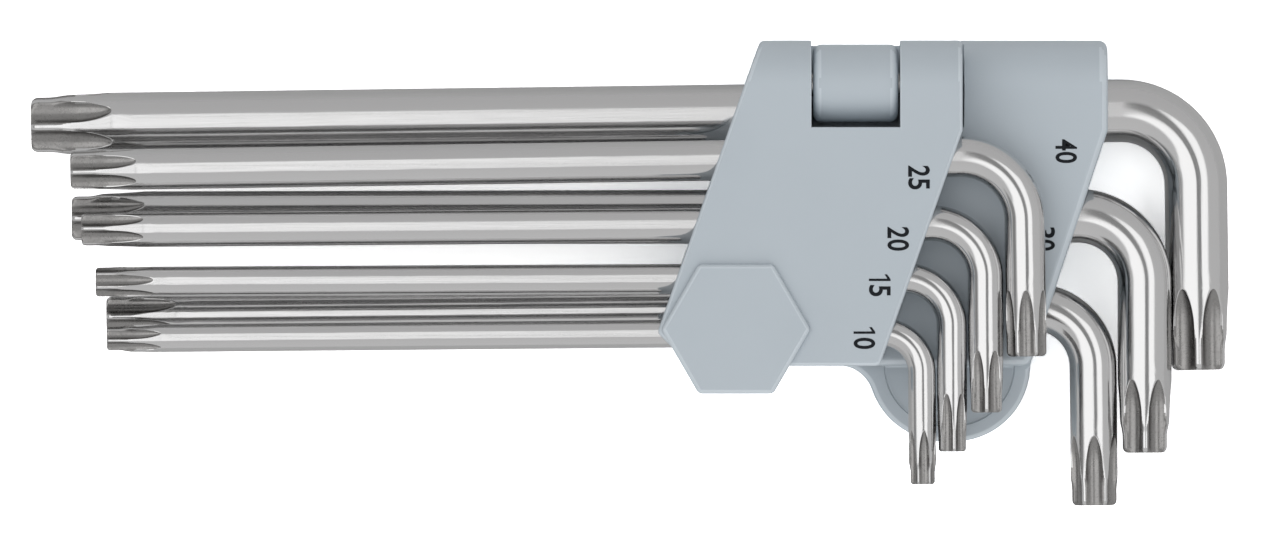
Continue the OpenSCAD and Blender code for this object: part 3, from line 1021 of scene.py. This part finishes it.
# Panels over the table, in degrees from straight up: left and right edge, then front and back edge
LEFT_SOFTBOX, RIGHT_SOFTBOX = (-49, 1, -22, 33), (17, 43, -22, 33)
DARK_GAP, DARK_STRIP = (1, 17, -22, 33), (-73, -56, -50, 50)
# What the gap and the strip take from the walls' brightness, as shares of it
GAP_SHARE, STRIP_SHARE = 0.5, 0.55
# How much darker than the middle the walls are at the back, and lighter in front
WALL_SLOPE = 0.07
# Width of the floor, and its distance below the set, in metres
FLOOR_SIZE, FLOOR_GAP = 4, 0.00005
# Apparent size of the fill lamp, and its tilt from straight above
FILL_SPREAD, FILL_TILT = math.radians(60), math.radians(55)
# Width of the camera's sensor in millimetres
SENSOR = 36.0


def combined(tree, operation, first, second):
    """A sum, product or the like of two values, each a number or the output of a node."""
    node = add_node(tree, "ShaderNodeMath", operation=operation)
    for socket, value in zip(node.inputs, (first, second)):
        if isinstance(value, bpy.types.NodeSocket):
            tree.links.new(value, socket)
        else:
            socket.default_value = value
    return node.outputs["Value"]


def edge_step(tree, angle_value, low, high):
    node = add_node(tree, "ShaderNodeMapRange", {
        "From Min": math.radians(low), "From Max": math.radians(high)}, interpolation_type="SMOOTHSTEP")
    tree.links.new(angle_value, node.inputs["Value"])
    return node.outputs["Result"]


def panel_mask(tree, across, along, box, soft=2.0):
    """One inside a panel of light that spans some degrees each way, with soft edges."""
    x0, x1, y0, y1 = box
    mask = None
    for value, low, high in ((across, x0, x1), (along, y0, y1)):
        rise = edge_step(tree, value, low - soft, low + soft)
        fall = edge_step(tree, value, high + soft, high - soft)
        both = combined(tree, "MULTIPLY", rise, fall)
        mask = both if mask is None else combined(tree, "MULTIPLY", mask, both)
    return mask


def studio_world():
    """White for the camera. The object is lit by softboxes overhead and by grey walls around."""
    stage = settings("star_stage")
    world = bpy.data.worlds.new("studio")
    bpy.context.scene.world = world
    world.use_nodes = True
    tree = world.node_tree
    tree.nodes.clear()
    way = add_node(tree, "ShaderNodeSeparateXYZ")
    tree.links.new(add_node(tree, "ShaderNodeTexCoord").outputs["Generated"], way.inputs["Vector"])
    x, y, z = (way.outputs[i] for i in range(3))
    across = combined(tree, "ARCTAN2", x, z)
    along = combined(tree, "ARCTAN2", y, z)
    left = panel_mask(tree, across, along, LEFT_SOFTBOX)
    right = panel_mask(tree, across, along, RIGHT_SOFTBOX)
    gap = panel_mask(tree, across, along, DARK_GAP)
    strip = panel_mask(tree, across, along, DARK_STRIP)
    walls = combined(tree, "SUBTRACT", stage.dome, combined(tree, "MULTIPLY", y, WALL_SLOPE))
    light = combined(tree, "ADD", walls, combined(tree, "MULTIPLY", left, stage.softbox - stage.dome))
    light = combined(tree, "ADD", light, combined(tree, "MULTIPLY", right, stage.softbox - stage.dome))
    light = combined(tree, "SUBTRACT", light, combined(tree, "MULTIPLY", gap, stage.dome * GAP_SHARE))
    light = combined(tree, "SUBTRACT", light, combined(tree, "MULTIPLY", strip, stage.dome * STRIP_SHARE))
    lit = add_node(tree, "ShaderNodeBackground", {"Color": (1, 1, 1, 1)})
    tree.links.new(light, lit.inputs["Strength"])
    seen = add_node(tree, "ShaderNodeBackground", {"Color": (1, 1, 1, 1), "Strength": 1.0})
    mix = add_node(tree, "ShaderNodeMixShader")
    tree.links.new(add_node(tree, "ShaderNodeLightPath").outputs["Is Camera Ray"], mix.inputs["Fac"])
    tree.links.new(lit.outputs["Background"], mix.inputs[1])
    tree.links.new(seen.outputs["Background"], mix.inputs[2])
    tree.links.new(mix.outputs["Shader"], add_node(tree, "ShaderNodeOutputWorld").inputs["Surface"])


def white_floor():
    """A white table. The camera sees it as a clean white ground, with the shadows in narrow gaps."""
    stage = settings("star_stage")
    deselect()
    bpy.ops.mesh.primitive_plane_add(size=FLOOR_SIZE, location=(0, 0, cad_low.z - FLOOR_GAP))
    floor = named("floor")
    material = bpy.data.materials.new("floor")
    material.use_nodes = True
    tree = material.node_tree
    tree.nodes.clear()
    matt, mirrored, seen = (add_node(tree, "ShaderNodeBsdfDiffuse", {"Color": (tone, tone, tone, 1)})
                            for tone in (stage.floor_tone, stage.floor_mirrored, stage.floor_seen))
    path = add_node(tree, "ShaderNodeLightPath")
    glossy, passed = (path.outputs[f"Is {kind} Ray"] for kind in ("Glossy", "Transmission"))
    reflected = combined(tree, "MAXIMUM", glossy, passed)
    shown = matt
    for share, layer in ((reflected, mirrored), (path.outputs["Is Camera Ray"], seen)):
        mix = add_node(tree, "ShaderNodeMixShader")
        tree.links.new(share, mix.inputs["Fac"])
        tree.links.new(shown.outputs[0], mix.inputs[1])
        tree.links.new(layer.outputs[0], mix.inputs[2])
        shown = mix
    tree.links.new(shown.outputs[0], add_node(tree, "ShaderNodeOutputMaterial").inputs["Surface"])
    floor.data.materials.append(material)
    deselect()


def fill_lamp():
    """A wide low lamp in front, which lifts the shadows under the keys but isn't mirrored in them."""
    stage = settings("star_stage")
    data = bpy.data.lights.new("fill", "SUN")
    data.energy = stage.fill
    data.angle = FILL_SPREAD
    lamp = bpy.data.objects.new("fill", data)
    lamp.rotation_euler = (FILL_TILT, 0, 0)
    lamp.visible_glossy = False
    bpy.context.scene.collection.objects.link(lamp)


def place_camera():
    """Straight above the set, from far away."""
    stage = InMillimetres("star_stage")
    data = bpy.data.cameras.new("camera")
    data.lens = stage.lens
    data.sensor_width = SENSOR
    data.clip_end = 100
    camera = bpy.data.objects.new("camera", data)
    bpy.context.scene.collection.objects.link(camera)
    distance = stage.view_w * stage.lens / SENSOR
    camera.location = hinge_place() + MM * Vector((stage.view_x, stage.view_y, distance))
    bpy.context.scene.camera = camera


# Operators

class StarKeysOperator(bpy.types.Operator):
    """Add the seven keys"""

    bl_idname = "object.star_keys_add"
    bl_label = "Keys"

    def execute(self, context):
        materials = [polished_steel(), forged_steel()]
        for size in SIZES:
            roll_key(size, materials)
        return {"FINISHED"}


class FrontLeafOperator(bpy.types.Operator):
    """Add the front leaf of the holder, with its thumb pad"""

    bl_idname = "object.star_front_leaf_add"
    bl_label = "Front leaf"

    def execute(self, context):
        make_front_leaf(moulded_plastic())
        return {"FINISHED"}


class BackLeafOperator(bpy.types.Operator):
    """Add the back leaf of the holder, with its centre knuckle and finger lobe"""

    bl_idname = "object.star_back_leaf_add"
    bl_label = "Back leaf"

    def execute(self, context):
        make_back_leaf(bpy.data.materials.get("moulded_plastic") or moulded_plastic())
        return {"FINISHED"}


class HingePinOperator(bpy.types.Operator):
    """Add the hinge pin"""

    bl_idname = "object.star_hinge_pin_add"
    bl_label = "Hinge pin"

    def execute(self, context):
        make_pin(drawn_wire())
        return {"FINISHED"}


class NumbersOperator(bpy.types.Operator):
    """Print the size numbers on the leaves"""

    bl_idname = "object.star_numbers_add"
    bl_label = "Size numbers"

    def execute(self, context):
        ink = printed_ink()
        for size in SIZES:
            print_number(size, ink)
        return {"FINISHED"}


class StageOperator(bpy.types.Operator):
    """Add the floor, the studio light and the camera"""

    bl_idname = "object.star_stage_add"
    bl_label = "Stage"

    def execute(self, context):
        context.scene.view_settings.view_transform = "Standard"
        studio_world()
        white_floor()
        fill_lamp()
        place_camera()
        return {"FINISHED"}


OPERATORS = (StageOperator, StarKeysOperator, FrontLeafOperator, BackLeafOperator,
             HingePinOperator, NumbersOperator)


class StarKeysPanel(bpy.types.Panel):
    """Lists the pieces of the set and their sizes"""

    bl_idname = "VIEW3D_PT_star_keys"
    bl_label = "Star keys"
    bl_space_type = "VIEW_3D"
    bl_region_type = "UI"
    bl_category = "Star keys"

    def draw(self, context):
        for operator in OPERATORS:
            self.layout.operator(operator.bl_idname)
        for name, group in GROUPS.items():
            box = self.layout.box()
            for prop in group.__annotations__:
                box.prop(getattr(context.scene, name), prop)


def register():
    for cls in (*GROUPS.values(), *OPERATORS, StarKeysPanel):
        bpy.utils.register_class(cls)
    for name, group in GROUPS.items():
        setattr(bpy.types.Scene, name, bpy.props.PointerProperty(type=group))


def unregister():
    for name in GROUPS:
        delattr(bpy.types.Scene, name)
    for cls in (StarKeysPanel, *OPERATORS, *GROUPS.values()):
        bpy.utils.unregister_class(cls)


def main():
    register()
    bpy.ops.object.star_stage_add()
    bpy.ops.object.star_keys_add()
    bpy.ops.object.star_front_leaf_add()
    bpy.ops.object.star_back_leaf_add()
    bpy.ops.object.star_hinge_pin_add()
    bpy.ops.object.star_numbers_add()


if __name__ == "__main__":
    main()
